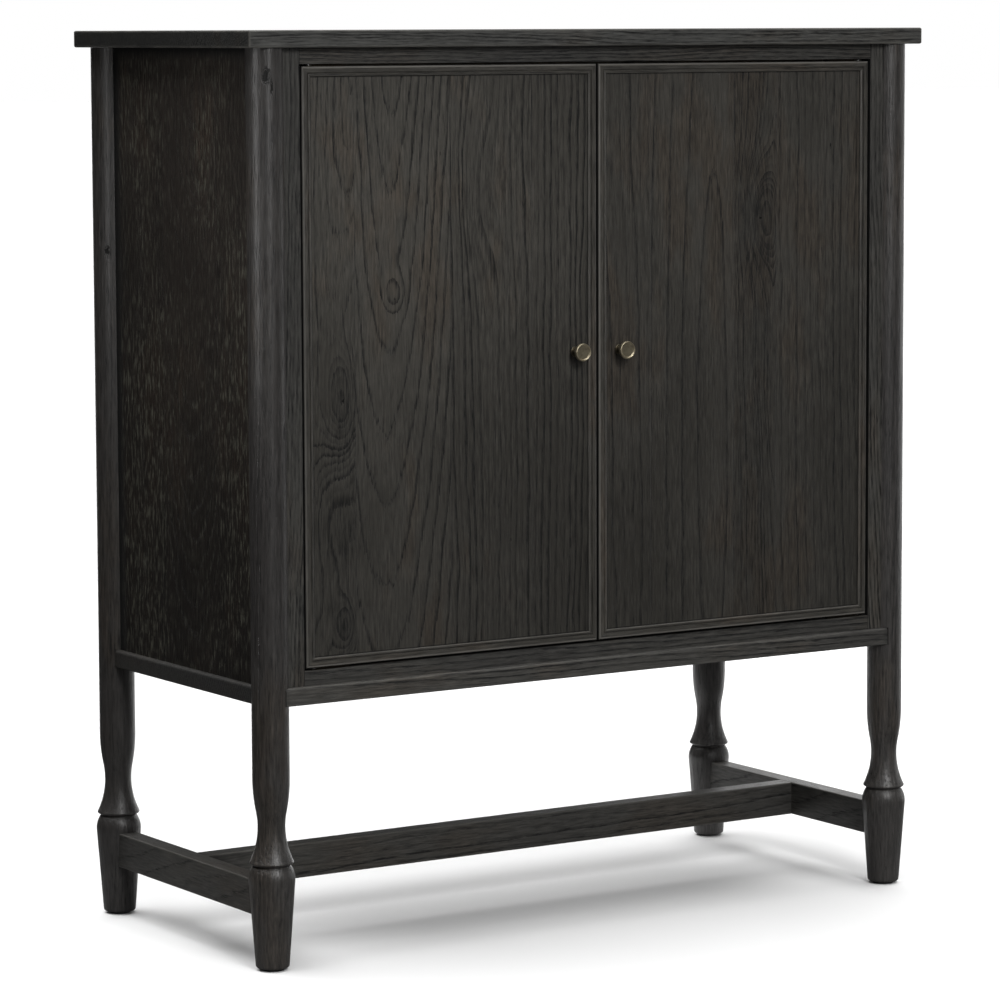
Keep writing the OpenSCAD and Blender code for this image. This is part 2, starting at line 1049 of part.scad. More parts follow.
module door_left_panel() {
    color(wood_light)
        door_panel();
}

module door_left_bead_top() {
    color(wood)
        bead_top();
}

module door_left_bead_bottom() {
    color(wood)
        bead_bottom();
}

module door_left_bead_hinge() {
    color(wood)
        bead_hinge();
}

module door_left_bead_meeting() {
    color(wood)
        bead_meeting();
}

module door_left_hinge_leaves() {
    color(bronze) {
        door_leaf_top();
        door_leaf_low();
    }
}

module door_left_washers() {
    color(steel) {
        washer(door_high + leaf_proud);
        washer(door_low - leaf_proud - washer_t);
    }
}

module door_left_hinge_screws() {
    color(bronze)
        door_leaf_screws();
}

module door_left_knob() {
    color(brass)
        knob();
}

module door_left_knob_screw() {
    color(steel)
        knob_screw();
}

module door_left_strike() {
    color(steel)
        strike();
}

module door_right_panel() {
    mirror([1, 0, 0])
        door_left_panel();
}

module door_right_bead_top() {
    mirror([1, 0, 0])
        door_left_bead_top();
}

module door_right_bead_bottom() {
    mirror([1, 0, 0])
        door_left_bead_bottom();
}

module door_right_bead_hinge() {
    mirror([1, 0, 0])
        door_left_bead_hinge();
}

module door_right_bead_meeting() {
    mirror([1, 0, 0])
        door_left_bead_meeting();
}

module door_right_hinge_leaves() {
    mirror([1, 0, 0])
        door_left_hinge_leaves();
}

module door_right_washers() {
    mirror([1, 0, 0])
        door_left_washers();
}

module door_right_hinge_screws() {
    mirror([1, 0, 0])
        door_left_hinge_screws();
}

module door_right_knob() {
    mirror([1, 0, 0])
        door_left_knob();
}

module door_right_knob_screw() {
    mirror([1, 0, 0])
        door_left_knob_screw();
}

module door_right_strike() {
    mirror([1, 0, 0])
        door_left_strike();
}

// ---------- Screws ----------

// Places of the screws that hold the top, at its underside and pointing up
module top_screw_places() {
    both_sides()
        for (y = [front_y + top_screw_end, (front_y + back_y) / 2, back_y - top_screw_end])
            translate([-side_inner_x + cleat_w / 2, y, case_top])
                children();
    for (x = [-strip_half + strip_screw_end, 0, strip_half - strip_screw_end])
        translate([x, frame_back_y + strip_w / 2, case_top])
            children();
}

// Head seats and shanks of those screws, through the cleats and the stop strip
module top_screw_bores() {
    top_screw_places()
        top_screw();
}

module top_screw() {
    translate([0, 0, -cleat_w + top_head_h])
        mirror([0, 0, 1])
            translate([0, 0, top_head_h])
                flat_screw(cleat_w + top_screw_in, top_screw_r, top_head_r, top_head_h);
}

module top_screws() {
    color(steel)
        top_screw_places()
            top_screw();
}

// Places of the screws that hold the back panel, at its outer face and pointing out
module back_screw_places() {
    for (z = [board_top_z + back_rail_low_h / 2, case_top - back_rail_top_h / 2])
        for (x = [-2 : 2])
            translate([x * (post_x - back_screw_end) / 2, back_y + back_front + back_t, z])
                rotate([-90, 0, 0])
                    children();
}

module back_screws_all() {
    back_screw_places()
        pan_screw(back_screw_l, screw_r, back_head_r, back_head_h);
}

module back_screws() {
    color(steel)
        back_screws_all();
}

// ---------- Nodes ----------

top_panel();
post_front_left();
post_front_right();
post_back_left();
post_back_right();
bottom_board();
side_panel_left();
side_panel_right();
back_panel();
stile_left();
stile_right();
rail_top();
rail_bottom();
stop_strip();
cleat_left();
cleat_right();
back_rail_top();
back_rail_bottom();
shelf_lower();
shelf_upper();
shelf_pins();
stretcher_left();
stretcher_right();
stretcher_long();
foot_glides();
catch_magnets();
hinge_case_leaves();
hinge_pins();
hinge_case_screws();
top_screws();
back_screws();
door_left_panel();
door_left_bead_top();
door_left_bead_bottom();
door_left_bead_hinge();
door_left_bead_meeting();
door_left_hinge_leaves();
door_left_washers();
door_left_hinge_screws();
door_left_knob();
door_left_knob_screw();
door_left_strike();
door_right_panel();
door_right_bead_top();
door_right_bead_bottom();
door_right_bead_hinge();
door_right_bead_meeting();
door_right_hinge_leaves();
door_right_washers();
door_right_hinge_screws();
door_right_knob();
door_right_knob_screw();
door_right_strike();
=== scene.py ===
"""Looks of the two-door cabinet: near-black brushed oak, aged brass knobs, soft studio light."""
import math

import bpy
from mathutils import Matrix, Vector


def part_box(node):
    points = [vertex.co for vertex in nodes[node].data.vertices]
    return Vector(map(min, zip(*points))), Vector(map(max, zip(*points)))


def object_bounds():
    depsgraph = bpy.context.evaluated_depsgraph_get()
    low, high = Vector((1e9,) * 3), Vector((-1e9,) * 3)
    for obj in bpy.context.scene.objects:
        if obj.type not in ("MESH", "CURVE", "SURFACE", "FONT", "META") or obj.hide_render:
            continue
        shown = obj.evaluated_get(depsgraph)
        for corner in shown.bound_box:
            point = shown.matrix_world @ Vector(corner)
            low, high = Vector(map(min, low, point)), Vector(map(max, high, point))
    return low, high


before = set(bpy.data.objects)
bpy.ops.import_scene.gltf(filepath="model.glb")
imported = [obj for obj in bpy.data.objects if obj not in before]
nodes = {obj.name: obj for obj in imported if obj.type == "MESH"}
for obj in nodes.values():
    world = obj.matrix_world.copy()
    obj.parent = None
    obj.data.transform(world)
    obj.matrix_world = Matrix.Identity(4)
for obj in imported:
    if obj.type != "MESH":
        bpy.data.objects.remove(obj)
cad_lo, cad_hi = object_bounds()
scene = bpy.context.scene


# ---------------------------------------------------------------- node maths
class S:
    """A value in a node tree, with ordinary arithmetic."""

    tree = None

    def __init__(self, sock):
        self.sock = sock

    def __add__(self, o): return calc("ADD", self, o)
    def __radd__(self, o): return calc("ADD", o, self)
    def __sub__(self, o): return calc("SUBTRACT", self, o)
    def __rsub__(self, o): return calc("SUBTRACT", o, self)
    def __mul__(self, o): return calc("MULTIPLY", self, o)
    def __rmul__(self, o): return calc("MULTIPLY", o, self)
    def __truediv__(self, o): return calc("DIVIDE", self, o)


def put(socket, value):
    """Link a node value to a socket, or set the socket to a plain value."""
    if isinstance(value, S):
        S.tree.links.new(value.sock, socket)
    elif value is not None:
        socket.default_value = value


def new(kind, **props):
    n = S.tree.nodes.new(kind)
    for k, v in props.items():
        setattr(n, k, v)
    return n


def calc(op, a, b=None):
    n = new("ShaderNodeMath", operation=op)
    for i, v in enumerate((a, b)):
        put(n.inputs[i], v)
    return S(n.outputs[0])


def sqrt(a): return calc("SQRT", a)
def absolute(a): return calc("ABSOLUTE", a)
def least(a, b): return calc("MINIMUM", a, b)
def most(a, b): return calc("MAXIMUM", a, b)
def floor(a): return calc("FLOOR", a)
def fract(a): return calc("FRACT", a)
def exp(a): return calc("EXPONENT", a)


def step(a, lo, hi, low=0.0, high=1.0):
    """Smooth step from low to high as a goes from lo to hi."""
    n = new("ShaderNodeMapRange", interpolation_type="SMOOTHSTEP")
    for i, v in enumerate((a, lo, hi, low, high)):
        put(n.inputs[i], v)
    return S(n.outputs[0])


def vec(x, y, z):
    n = new("ShaderNodeCombineXYZ")
    for i, v in enumerate((x, y, z)):
        put(n.inputs[i], v)
    return S(n.outputs[0])


def noise(v, detail, rough):
    """Noise from 0 to 1 whose features are about 1 unit of v in size."""
    n = new("ShaderNodeTexNoise", noise_dimensions="3D")
    put(n.inputs["Vector"], v)
    n.inputs["Scale"].default_value = 1.0
    n.inputs["Detail"].default_value = detail
    n.inputs["Roughness"].default_value = rough
    return S(n.outputs["Fac"])


def white(a):
    """A different value from 0 to 1 for every a."""
    n = new("ShaderNodeTexWhiteNoise", noise_dimensions="1D")
    put(n.inputs["W"], a)
    return S(n.outputs["Value"])


def blend(f, a, b):
    """Colour a where f is 0 and b where f is 1."""
    n = new("ShaderNodeMix", data_type="RGBA")
    factor, first, second = n.inputs[0], n.inputs[6], n.inputs[7]
    put(factor, f)
    put(first, a)
    put(second, b)
    return S(n.outputs[2])


def shade(col, f):
    """Colour times a grey value."""
    n = new("ShaderNodeMix", data_type="RGBA", blend_type="MULTIPLY")
    factor, first, second = n.inputs[0], n.inputs[6], n.inputs[7]
    factor.default_value = 1.0
    put(first, col)
    put(second, vec(f, f, f))
    return S(n.outputs[2])


def rgb(r, g, b):
    """sRGB 0-255 as a linear colour."""
    def lin(c):
        c /= 255.0
        return c / 12.92 if c <= 0.04045 else ((c + 0.055) / 1.055) ** 2.4
    return (lin(r), lin(g), lin(b), 1.0)


def coords():
    """The three object coordinates, in metres."""
    n = new("ShaderNodeTexCoord")
    s = new("ShaderNodeSeparateXYZ")
    S.tree.links.new(n.outputs["Object"], s.inputs[0])
    return tuple(S(o) for o in s.outputs)


MARK_DULLS = 0.55       # roughness that holes and painted shade add


def material(name, build, specular=0.5, metallic=0.0):
    """A Principled material. build(x, y, z) gives its colour, roughness, height and the bump's depth
    in metres, and how free it is of holes and painted shade (None where it has neither)."""
    mat = bpy.data.materials.new(name)
    mat.use_nodes = True
    S.tree = mat.node_tree
    S.tree.nodes.clear()
    out = new("ShaderNodeOutputMaterial")
    bsdf = new("ShaderNodeBsdfPrincipled")
    S.tree.links.new(bsdf.outputs[0], out.inputs[0])
    bsdf.inputs["Specular IOR Level"].default_value = specular
    bsdf.inputs["Metallic"].default_value = metallic
    colour, rough, height, depth, unmarked = build(*coords())
    put(bsdf.inputs["Base Color"], colour)
    if unmarked is not None:
        rough = rough + (1.0 - unmarked) * MARK_DULLS
    put(bsdf.inputs["Roughness"], rough)
    bump = new("ShaderNodeBump")
    bump.inputs["Distance"].default_value = depth
    bump.inputs["Strength"].default_value = 1.0
    put(bump.inputs["Height"], height)
    put(bsdf.inputs["Normal"], S(bump.outputs[0]))
    return mat


# ---------------------------------------------------------------- oak
# Grain direction: the axis across the face, the axis into the board, the axis of the grain.
GRAINS = {"z": (0, 1, 2), "x": (2, 1, 0), "zy": (1, 0, 2), "y": (2, 0, 1)}

# Light wood, middle wood, pore, warm patch, worn edge (also the pale flecks and the painted edge
# highlights).
TONES = {
    "door": (rgb(64, 62, 58), rgb(53, 51, 47), rgb(19, 18, 17), rgb(60, 54, 47), rgb(122, 119, 114)),
    "top": (rgb(69, 69, 67), rgb(60, 60, 58), rgb(22, 22, 21), rgb(64, 61, 56), rgb(104, 102, 97)),
    # The side tone is darker than the others: painted shade, as the sides get less light than the front.
    "side": (rgb(46, 41, 37), rgb(37, 33, 30), rgb(15, 14, 13), rgb(48, 40, 34), rgb(112, 112, 100)),
    "post": (rgb(57, 55, 53), rgb(48, 46, 45), rgb(18, 17, 17), rgb(54, 49, 44), rgb(96, 94, 90)),
    "frame": (rgb(61, 60, 57), rgb(52, 51, 49), rgb(19, 18, 18), rgb(57, 53, 48), rgb(104, 102, 98)),
    "inside": (rgb(70, 64, 56), rgb(58, 53, 46), rgb(25, 23, 20), rgb(74, 62, 49), rgb(104, 96, 84)),
}
HOLE_AND_SHADE_BLACK = (0.0012, 0.0011, 0.001, 1.0)    # colour of holes and of painted shade

# Wood textures: features per metre across the grain and along it, detail, roughness of the noise.
BEND = (5.0, 1.5, 3.0, 0.55)            # slow bend of the rings
WAVE = (22.0, 7.0, 2.0, 0.5)            # small wave of the rings
FIBRE = (420.0, 5.0, 3.0, 0.7)          # fibres that carry a ring's tip up or down
JAG = (330.0, 95.0, 2.0, 0.65)          # ragged edge of a ring's line
PATCH = (5.0, 2.4, 3.0, 0.55)           # large light and dark areas
MOTTLE = (22.0, 7.0, 3.0, 0.6)          # small light and dark areas
STREAK = (560.0, 42.0, 2.0, 0.6)        # pores, and gaps in the rings' lines
BARS = (360.0, 30.0, 3.0, 0.70)         # brushed bars between the rings
BRUSH = (760.0, 30.0, 2.0, 0.55)        # finest brush marks, which catch the light
LIME = (230.0, 44.0, 3.0, 0.65)         # pale flecks
GRIT = (240.0, 120.0, 2.0, 0.6)         # cracks round a hole

FIBRE_PULL = 0.055      # how far along the grain the fibres carry a ring, metres
JAG_PULL = 0.0050       # how ragged a ring's line is, metres
LINE_NEAR, LINE_FAR = 0.0008, 0.0052    # a ring's line fades between these distances, metres
PLAIN_LINE = 0.25       # strength of a leaf's faintest ring line, unless it says bold
RINGS_APART = 31.0      # ring numbers between one leaf and the next, so that no two match
SEEDS_APART = 3.7       # and the same for their noise
BAR_DEPTH = 3.3         # contrast of the brushed bars
LATE_DARK = 0.16        # darkening toward the late edge of a ring
PORE_DARK = 0.40
GLINT_LIGHT = 0.20
DARKEST = 0.10          # least grey value
OAK_BUMP = 0.00035      # depth of the wood's relief, metres


def texture(u, v, a, kind, across=None, into=None, along=None):
    """One of the wood textures, moved by across, into and along."""
    per_across, per_along, detail, rough = kind
    at = ((u * per_across, across), (v * per_across, into), (a * per_along, along))
    return noise(vec(*(c if move is None else c + move for c, move in at)), detail, rough)


def spot(x, z, cx, cz, sx, sz):
    """A round bump of height 1 at (cx, cz)."""
    a = (x - cx) * (1.0 / sx)
    b = (z - cz) * (1.0 / sz)
    return exp(-1.0 * (a * a + b * b))


def edge_mask(x, y, z, box, width):
    """1 on the straight edges of a box, falling to 0 at that width inside them."""
    lo, hi = box
    d = [least(c - lo[i], hi[i] - c) for i, c in enumerate((x, y, z))]
    low = least(least(d[0], d[1]), d[2])
    high = most(most(d[0], d[1]), d[2])
    middle = d[0] + d[1] + d[2] - low - high
    return step(middle, 0.0, width, 1.0, 0.0)


def ring_field(u, v, a, carried, leaf, seed):
    """Growth rings cut by the board: u across, v into it, a along the grain, and carried the same
    with the fibres' pull. Gives the ring number and how many rings there are per metre.

    The heart of the tree passes xc, zc and leans by lean; it goes into the board by k per metre,
    v0 behind the face. ring is the width of a ring; warp and wave bend it. A knot is
    (x, z, half width, half height, how far it pushes the rings)."""
    slow = texture(u, v, a, BEND, across=seed)
    wave = texture(u, v, a, WAVE, across=seed, into=7.0)
    rise = carried - leaf.get("zc", 0.0)
    k = leaf.get("k", 0.06)
    du = u - leaf.get("xc", 0.0) - rise * leaf.get("lean", 0.0) + (slow - 0.5) * leaf.get("warp", 0.03)
    dv = v + rise * k + leaf.get("v0", 0.004)
    r = sqrt(du * du + dv * dv + 1e-5)
    slope = sqrt(du * du + dv * dv * (k * k) + 1e-7) / r
    r = r + (wave - 0.5) * leaf.get("wave", 0.006)
    knot_waver, knot_bend = 0.016, 0.03
    for cx, cz, sx, sz, amount in leaf.get("knots", ()):
        bump = spot(u + (wave - 0.5) * knot_waver, a + (slow - 0.5) * knot_bend, cx, cz, sx, sz)
        r = r + bump * amount
        slope = slope + bump * (abs(amount) / sx)
    per_metre = 1.0 / leaf.get("ring", 0.006)
    return r * per_metre, slope * per_metre


def all_leaves(u, v, a, carried, leaves, seed):
    """The rings of every leaf side by side: ring number, rings per metre, tint, faintest line."""
    seam_half = 0.0001
    r, slope, shift, faint, border = None, None, 0.0, PLAIN_LINE, None
    last_tint = last_line = 0.0
    for i, leaf in enumerate(leaves):
        field, steep = ring_field(u, v, a, carried, leaf, seed + i * SEEDS_APART)
        field = field + i * RINGS_APART
        tint, line = leaf.get("tint", 0.0), leaf.get("bold", PLAIN_LINE)
        if r is None:
            r, slope, shift, faint = field, steep, tint, line
        else:
            inside = step(u, border - seam_half, border + seam_half)
            r = r + (field - r) * inside
            slope = slope + (steep - slope) * inside
            shift = inside * (tint - last_tint) + shift
            faint = inside * (line - last_line) + faint
        border, last_tint, last_line = leaf["to"], tint, line
    return r, slope, shift, faint


def less(unmarked, new_mark):
    """How much is left unmarked after one more hole or patch of painted shade."""
    return (1.0 - new_mark) if unmarked is None else unmarked * (1.0 - new_mark)


def oak(name, grain, box, tone="frame", leaves=None, seed=0.0, spots=(), seams=(), wear_and_highlight=0.5,
        lift=1.0, edge=0.0035, specular=0.32, rough=0.44, painted_shade=(), fleck=0.0, fade=None,
        line=1.30, far_face=False, ends=1.0, edge_highlight=()):
    """Near-black brushed oak.

    leaves    the veneers or boards side by side along the face, each up to its "to"
    spots     holes with cracks: (x, y, z, size across the grain, size along it)
    seams     where two leaves meet
    wear_and_highlight  how far the straight edges are lightened, over the width edge: partly worn, partly
    painted edge highlight
    lift      brightness; fade is (axis, start, end, brightness at the start), painted shade darkening toward the start
    painted_shade  (axis, -1 or 1 for the low or high end, start, stop, amount) of painted shade, near
    black edge_highlight  (axis, end, amount) of a painted highlight on the rounded front corner
    fleck     pale flecks; line the strength of the rings' lines; ends the brightness of end grain, partly its darker stain and partly painted shade on the less-lit sides
    far_face  the grain is drawn from the high face of the board, not the low one"""
    light, mid, pore_col, warm, rub_and_highlight = TONES[tone]
    across_axis, depth_axis, grain_axis = GRAINS[grain]
    skin = box[1 if far_face else 0][depth_axis]

    def from_end(p, axis, end):
        """Distance from the low or high end of the box."""
        return (p[axis] - box[0][axis]) if end < 0 else (box[1][axis] - p[axis])

    def build(x, y, z):
        p = (x, y, z)
        u, v, a = p[across_axis], p[depth_axis] - skin, p[grain_axis]
        fibre = texture(u, v, a, FIBRE, across=seed)
        carried = a + (fibre - 0.5) * FIBRE_PULL
        r, slope, shift, faint = all_leaves(u, v, a, carried, leaves or [dict(to=None)], seed)

        jag = texture(u, v, a, JAG, across=seed)
        ring, part = floor(r), fract(r)
        per_ring = white(ring + seed)
        reach = (1.0 - part) / slope + (jag - 0.5) * JAG_PULL
        patch = texture(u, v, a, PATCH, across=seed * 1.7, along=3.0)
        mottle = texture(u, v, a, MOTTLE, across=seed)
        calm = step(mottle, 0.30, 0.60, 0.45, 1.0)
        streak = texture(u, v, a, STREAK, across=r * 0.4, along=seed)
        zone = (step(reach, LINE_NEAR, LINE_FAR, 1.0, 0.0) * step(per_ring, 0.0, 0.9, faint, 1.0)
                * step(mottle, 0.30, 0.60, 0.55, 1.0))
        ring_line = zone * (0.45 + 0.55 * step(streak, 0.44, 0.60))
        late = step(part, 0.30, 1.0) * (per_ring * 0.7 + 0.3)
        bars = texture(u, v, a, BARS, across=r * 0.25 + seed)
        pore = step(streak, 0.58, 0.70)
        glint = step(texture(u, v, a, BRUSH, across=r * 0.3 + 11.0), 0.56, 0.70)

        col = blend(step(patch, 0.32, 0.68), mid, light)
        col = blend(step(patch + (mottle - 0.5) * 0.6, 0.50, 0.66) * 0.75, col, warm)
        grey = (1.08 + (bars - 0.5) * BAR_DEPTH * calm - late * LATE_DARK - ring_line * line
                - pore * PORE_DARK)
        grey = grey + glint * GLINT_LIGHT + shift
        # Darker toward the fade's start: painted shade where less light falls, on the doors partly their
        # own tone.
        if fade:
            axis, start, end, low = fade
            grey = grey * step(p[axis], start, end, low, 1.0)
        # End grain is darker: partly the stain it soaks up, partly painted shade on the sides, which get
        # less light.
        if ends < 1.0:
            tip = least(from_end(p, grain_axis, -1), from_end(p, grain_axis, 1))
            grey = grey * step(tip, 0.0004, 0.0020, ends, 1.0)
        col = shade(col, most(grey * lift, DARKEST))
        if fleck:
            limed = step(texture(u, v, a, LIME, across=seed), 0.48, 0.64)
            limed = limed * step(reach, 0.0020, 0.0060, 1.0, 0.30) * step(patch, 0.35, 0.58, 0.35, 1.0)
            col = blend(limed * fleck, col, rub_and_highlight)
        height = (1.0 - pore * 0.55) - ring_line * 0.8 + (bars - 0.5) * 1.1 + glint * 0.15
        soft = pore * 0.10 + ring_line * 0.12 + (mottle - 0.5) * 0.16 - glint * 0.05

        for seam in seams:
            joint = step(absolute(u - seam), 0.0001, 0.0006, 1.0, 0.0)
            col = blend(joint * 0.45, col, pore_col)
            height = height - joint * 0.6
        unmarked = None
        for px, py, pz, across, along in spots:
            grit = texture(u, v, a, GRIT)
            sizes = [along if i == grain_axis else across for i in range(3)]
            dx, dy, dz = x - px, y - py, z - pz
            q = (dx * dx * (1 / sizes[0] ** 2) + dy * dy * (1 / sizes[1] ** 2)
                 + dz * dz * (1 / sizes[2] ** 2))
            web = step(absolute(grit - 0.5), 0.012, 0.050, 1.0, 0.0) * step(q, 0.35, 1.0, 1.0, 0.0)
            hole = most(web, step(q + (grit - 0.5) * 0.6, 0.10, 0.25, 1.0, 0.0))
            unmarked = less(unmarked, hole)
            col = blend(hole * 0.92, col, HOLE_AND_SHADE_BLACK)
            height = height - hole * 2.5
        # Straight edges lightened: partly worn, partly painted edge highlight.
        if wear_and_highlight:
            worn_and_highlit = edge_mask(x, y, z, box, edge) * step(mottle, 0.32, 0.62, 0.35, 1.0)
            col = blend(worn_and_highlit * wear_and_highlight, col, rub_and_highlight)
        # Painted highlight on the rounded outer front corner of a moulding.
        for axis, end, amount in edge_highlight:
            corner = from_end(p, axis, end) + (y - box[0][1])
            highlight_mask = step(corner, 0.0020, 0.0034, amount, 0.0) * step(mottle, 0.30, 0.60, 0.6, 1.0)
            col = blend(highlight_mask, col, rub_and_highlight)
        # Painted shade, near black, in a band at one end of the box: in gaps, beside posts, under the
        # top.
        for axis, end, start, stop, amount in painted_shade:
            shade_mask = step(from_end(p, axis, end), start, stop, amount, 0.0)
            col = blend(shade_mask, col, HOLE_AND_SHADE_BLACK)
            unmarked = less(unmarked, shade_mask)
        return col, rough + soft, height, OAK_BUMP, unmarked

    return material(name, build, specular=specular)


# ---------------------------------------------------------------- metal and plastic
def metal(name, colour, dark, rough, seed=0.0, tarnish=0.5, front=None):
    """Tarnished metal. Where front is given, the part behind a knob's face darkens with depth."""
    neck_start, neck_full, neck_amount = 0.004, 0.010, 0.7
    neck_col = (0.02, 0.017, 0.013, 1.0)

    def build(x, y, z):
        patch = noise(vec(x * 130.0 + seed, y * 130.0, z * 130.0), 4.0, 0.6)
        fine = noise(vec(x * 1500.0, y * 1500.0, z * 1500.0), 2.0, 0.5)
        col = blend(step(patch, 0.35, 0.70) * tarnish, colour, dark)
        col = blend(step(fine, 0.55, 0.75) * 0.25, col, dark)
        if front is not None:
            col = blend(step(y - front, neck_start, neck_full) * neck_amount, col, neck_col)
        return col, rough + (patch - 0.5) * 0.22, fine * 0.5 + patch, 0.00005, None
    return material(name, build, metallic=1.0)


def plastic(name, colour, scuffed, rough):
    def build(x, y, z):
        grit = noise(vec(x * 900.0, y * 900.0, z * 900.0), 3.0, 0.6)
        scuff = noise(vec(x * 90.0, y * 90.0, z * 90.0), 3.0, 0.6)
        col = blend(step(scuff, 0.5, 0.8) * 0.5, colour, scuffed)
        return col, rough + (scuff - 0.5) * 0.2, grit, 0.00008, None
    return material(name, build)


def paint(node, mat):
    o = nodes[node]
    if not o.material_slots:
        o.data.materials.append(mat)
    for s in o.material_slots:
        s.material = mat


# ---------------------------------------------------------------- doors
dl_lo, dl_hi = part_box("door_left_panel")
dr_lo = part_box("door_right_panel")[0]

left_leaves = [
    dict(to=dl_lo.x + 0.066, xc=dl_lo.x + 0.125, zc=1.62, lean=0.13, k=0.09, ring=0.0062, warp=0.035,
         wave=0.010, tint=0.04,
         knots=((dl_lo.x + 0.047, 0.752, 0.026, 0.060, -0.046),
                (dl_lo.x + 0.050, 0.455, 0.015, 0.030, -0.040),
                (dl_lo.x + 0.030, 0.600, 0.030, 0.080, 0.022))),
    dict(to=dl_lo.x + 0.215, xc=dl_lo.x + 0.128, zc=1.36, lean=0.02, k=0.112, ring=0.0115, warp=0.022,
         wave=0.008, tint=0.10, bold=1.0, knots=((dl_lo.x + 0.128, 0.895, 0.016, 0.024, -0.026),)),
    dict(to=dl_lo.x + 0.345, xc=dl_lo.x - 0.10, zc=0.9, k=0.05, v0=0.05, ring=0.0092, warp=0.055,
         wave=0.012, tint=-0.02, knots=((dl_lo.x + 0.262, 1.02, 0.030, 0.100, 0.022),)),
    dict(to=None, xc=dl_lo.x - 0.20, zc=0.9, k=0.03, v0=0.12, ring=0.0105, warp=0.050, wave=0.010,
         tint=-0.05),
]
right_leaves = [
    dict(to=dr_lo.x + 0.075, xc=dr_lo.x - 0.12, zc=0.6, k=0.04, v0=0.10, ring=0.0120, warp=0.045,
         wave=0.010, tint=-0.03),
    dict(to=dr_lo.x + 0.216, xc=dr_lo.x + 0.181, zc=0.68, k=0.075, v0=0.0, ring=0.0270, warp=0.016,
         wave=0.006, tint=0.02, bold=1.0),
    dict(to=dr_lo.x + 0.290, xc=dr_lo.x + 0.285, zc=0.97, k=0.06, v0=0.01, ring=0.0046, warp=0.040,
         wave=0.012, tint=-0.10, knots=((dr_lo.x + 0.262, 0.975, 0.032, 0.070, -0.050),)),
    dict(to=None, xc=dr_lo.x + 0.02, zc=0.7, k=0.03, v0=0.14, ring=0.0125, warp=0.050, wave=0.010,
         tint=0.0),
]
# Small holes: across from the panel's left edge, height, size across, size along.
left_spots = [(0.20, 1.075, 0.0009, 0.004), (0.128, 0.884, 0.0016, 0.004),
              (0.047, 0.752, 0.002, 0.004), (0.31, 0.55, 0.0008, 0.006)]
right_spots = [(0.262, 0.975, 0.003, 0.003), (0.385, 1.075, 0.0016, 0.007), (0.37, 0.925, 0.0008, 0.010)]

face = dl_lo.y
# Painted shade at the outer edges of a door panel, where the moulding steps down onto it.
panel_edge_shade = [(axis, end, 0.0, 0.0022, 0.9) for axis in (0, 2) for end in (-1, 1)]
# The doors darken toward the bottom: partly the panels' own tone, partly painted shade of the light
# falling off downwards.
fade_top = dl_hi.z - 0.1
for side, lo, leaves, holes, seed, low, lift, line in (
        ("left", dl_lo, left_leaves, left_spots, 2.3, 0.66, 1.17, 1.35),
        ("right", dr_lo, right_leaves, right_spots, 8.9, 0.82, 0.92, 1.05)):
    paint(f"door_{side}_panel", oak(
        f"oak_door_{side}", "z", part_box(f"door_{side}_panel"), "door", leaves, seed=seed, wear_and_highlight=0.0,
        fade=(2, dl_lo.z, fade_top, low), lift=lift, line=line, painted_shade=panel_edge_shade,
        seams=[leaf["to"] for leaf in leaves[:-1]],
        spots=[(lo.x + x, face, z, across, along) for x, z, across, along in holes]))

BEAD_GAP = 0.0011       # width of the painted shade where the moulding meets the gap
for side, seed in (("left", 1.0), ("right", 5.0)):
    out = -1 if side == "left" else 1
    # shine is the strength of each moulding's painted edge highlight; edges facing +X get none.
    beads = (("top", "x", 2, 1, 0.75), ("bottom", "x", 2, -1, 1.0),
             ("hinge", "z", 0, out, 0.35), ("meeting", "z", 0, -out, 0.45))
    for k, (piece, grain, axis, end, shine) in enumerate(beads):
        if axis == 0 and end > 0:
            shine = 0.0
        n = f"door_{side}_bead_{piece}"
        paint(n, oak(f"oak_{side}_bead_{piece}", grain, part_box(n), "door",
                     [dict(to=None, xc=0.0, v0=0.3, k=0.02, ring=0.005, warp=0.02, wave=0.003)],
                     seed=seed + k * 2.1, wear_and_highlight=0.35, edge=0.0022, specular=0.45, rough=0.38, line=0.4,
                     painted_shade=((axis, end, 0.0, BEAD_GAP, 1.0),), edge_highlight=((axis, end, shine),), lift=1.12))

# ---------------------------------------------------------------- case
# Holes in the posts, from a post's middle: across, forward, height, size across, size along.
POST_HOLES = {
    "post_front_left": ((-0.010, -0.0225, 1.181, 0.0075, 0.015), (-0.003, -0.0245, 1.166, 0.0025, 0.014)),
    "post_back_left": ((-0.016, -0.0190, 0.935, 0.0055, 0.010),),
}
post_seed, post_seed_step = 0.0, 4.3
for n in ("post_front_left", "post_front_right", "post_back_left", "post_back_right"):
    lo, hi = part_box(n)
    cx, cy = (lo.x + hi.x) / 2, (lo.y + hi.y) / 2
    post_seed += post_seed_step
    holes = [(cx + x, cy + y, z, across, along) for x, y, z, across, along in POST_HOLES.get(n, ())]
    # The right posts are painted lighter than the left ones (lift): painted light that evens out the
    # lamps' fall-off toward the right.
    paint(n, oak("oak_" + n, "z", (lo, hi), "post",
                 [dict(to=None, xc=cx + 0.03, v0=0.012, k=0.03, zc=0.6, ring=0.0052, warp=0.02,
                       wave=0.004)],
                 seed=post_seed, spots=holes, wear_and_highlight=0.0, specular=0.5, rough=0.36, line=0.35,
                 lift=1.12 if n.endswith("right") else 0.94))

paint("top_panel", oak("oak_top_panel", "x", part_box("top_panel"), "top",
                       [dict(to=None, xc=1.05, v0=0.10, k=0.02, ring=0.0042, warp=0.05, wave=0.006)],
                       seed=3.1, wear_and_highlight=0.65, edge=0.0040, specular=0.32, rough=0.50, ends=0.38, lift=1.10))

# Painted shade, near black, over the last 13 mm at both ends of each rail.
rail_end_shade = [(0, end, 0.0, 0.013, 0.9) for end in (-1, 1)]
